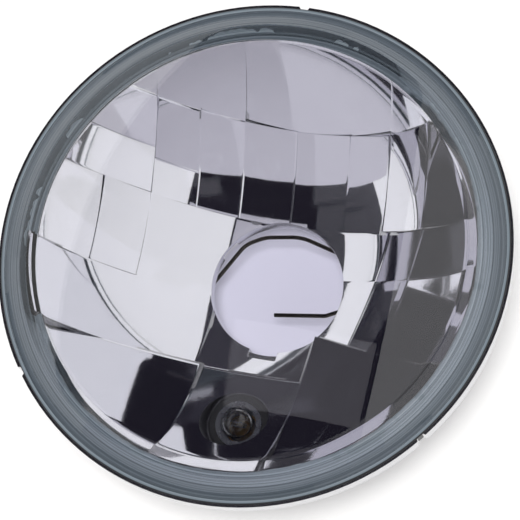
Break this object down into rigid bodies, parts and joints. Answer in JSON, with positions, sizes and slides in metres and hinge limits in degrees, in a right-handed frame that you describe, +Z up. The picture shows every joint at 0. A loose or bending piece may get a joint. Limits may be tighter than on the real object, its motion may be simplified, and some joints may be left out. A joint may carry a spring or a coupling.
{
  "type": "motorcycle headlight insert",
  "caption": "Round motorcycle headlight insert: clear domed glass sealed to a faceted mirror reflector, with a crimped lamp seat, a swinging wire lamp clip and a pilot lamp in a grommet.",
  "frame": {"origin": "on the optical axis, in the plane of the rim's rear face that seats in the headlamp shell", "axes": "+Y points backward along the optical axis, from the glass to the lamp; +Z is up, with the pilot lamp below the axis; +X is to the right, seen from the front"},
  "size_m": [0.146, 0.0734, 0.146],
  "materials": {
    "lens_glass": "clear pressed glass",
    "sealing_compound": "black sealing compound",
    "aluminised_steel": "deep drawn steel with a lacquered aluminium mirror coating",
    "zinc_plated_steel": "bright zinc plated steel sheet",
    "spring_steel": "oiled spring steel wire",
    "grommet_rubber": "moulded black rubber",
    "brass": "plain brass",
    "bulb_glass": "clear blown glass",
    "tungsten": "coiled tungsten wire",
    "black_glass": "fused black glass",
    "solder": "soft solder",
    "laminated_board": "brown laminated paper board"
  },
  "bodies": {
    "insert": {"lens": "lens_glass", "sealant": "sealing_compound", "reflector": "aluminised_steel", "lamp_seat": "zinc_plated_steel", "clip_bracket": "zinc_plated_steel", "bracket_rivet": "zinc_plated_steel", "clip_catch": "zinc_plated_steel", "catch_rivet": "zinc_plated_steel", "pilot_grommet": "grommet_rubber", "pilot_socket": "zinc_plated_steel", "pilot_cap": "brass", "pilot_glass": "bulb_glass", "pilot_stem": "bulb_glass", "pilot_filament": "tungsten", "pilot_cap_insulator": "black_glass", "pilot_cap_contact": "solder", "socket_insulator": "laminated_board", "socket_plunger": "brass", "plunger_spring": "spring_steel", "live_terminal": "brass", "earth_terminal": "zinc_plated_steel"},
    "clip": {"lamp_clip": "spring_steel"}
  },
  "joints": [
    {"name": "clip_swing", "type": "hinge", "parent": "insert", "child": "clip", "pos_m": [-0.0248, 0.0411, 0], "axis": [0, 0, 1], "range_deg": [0, 110]}
  ]
}
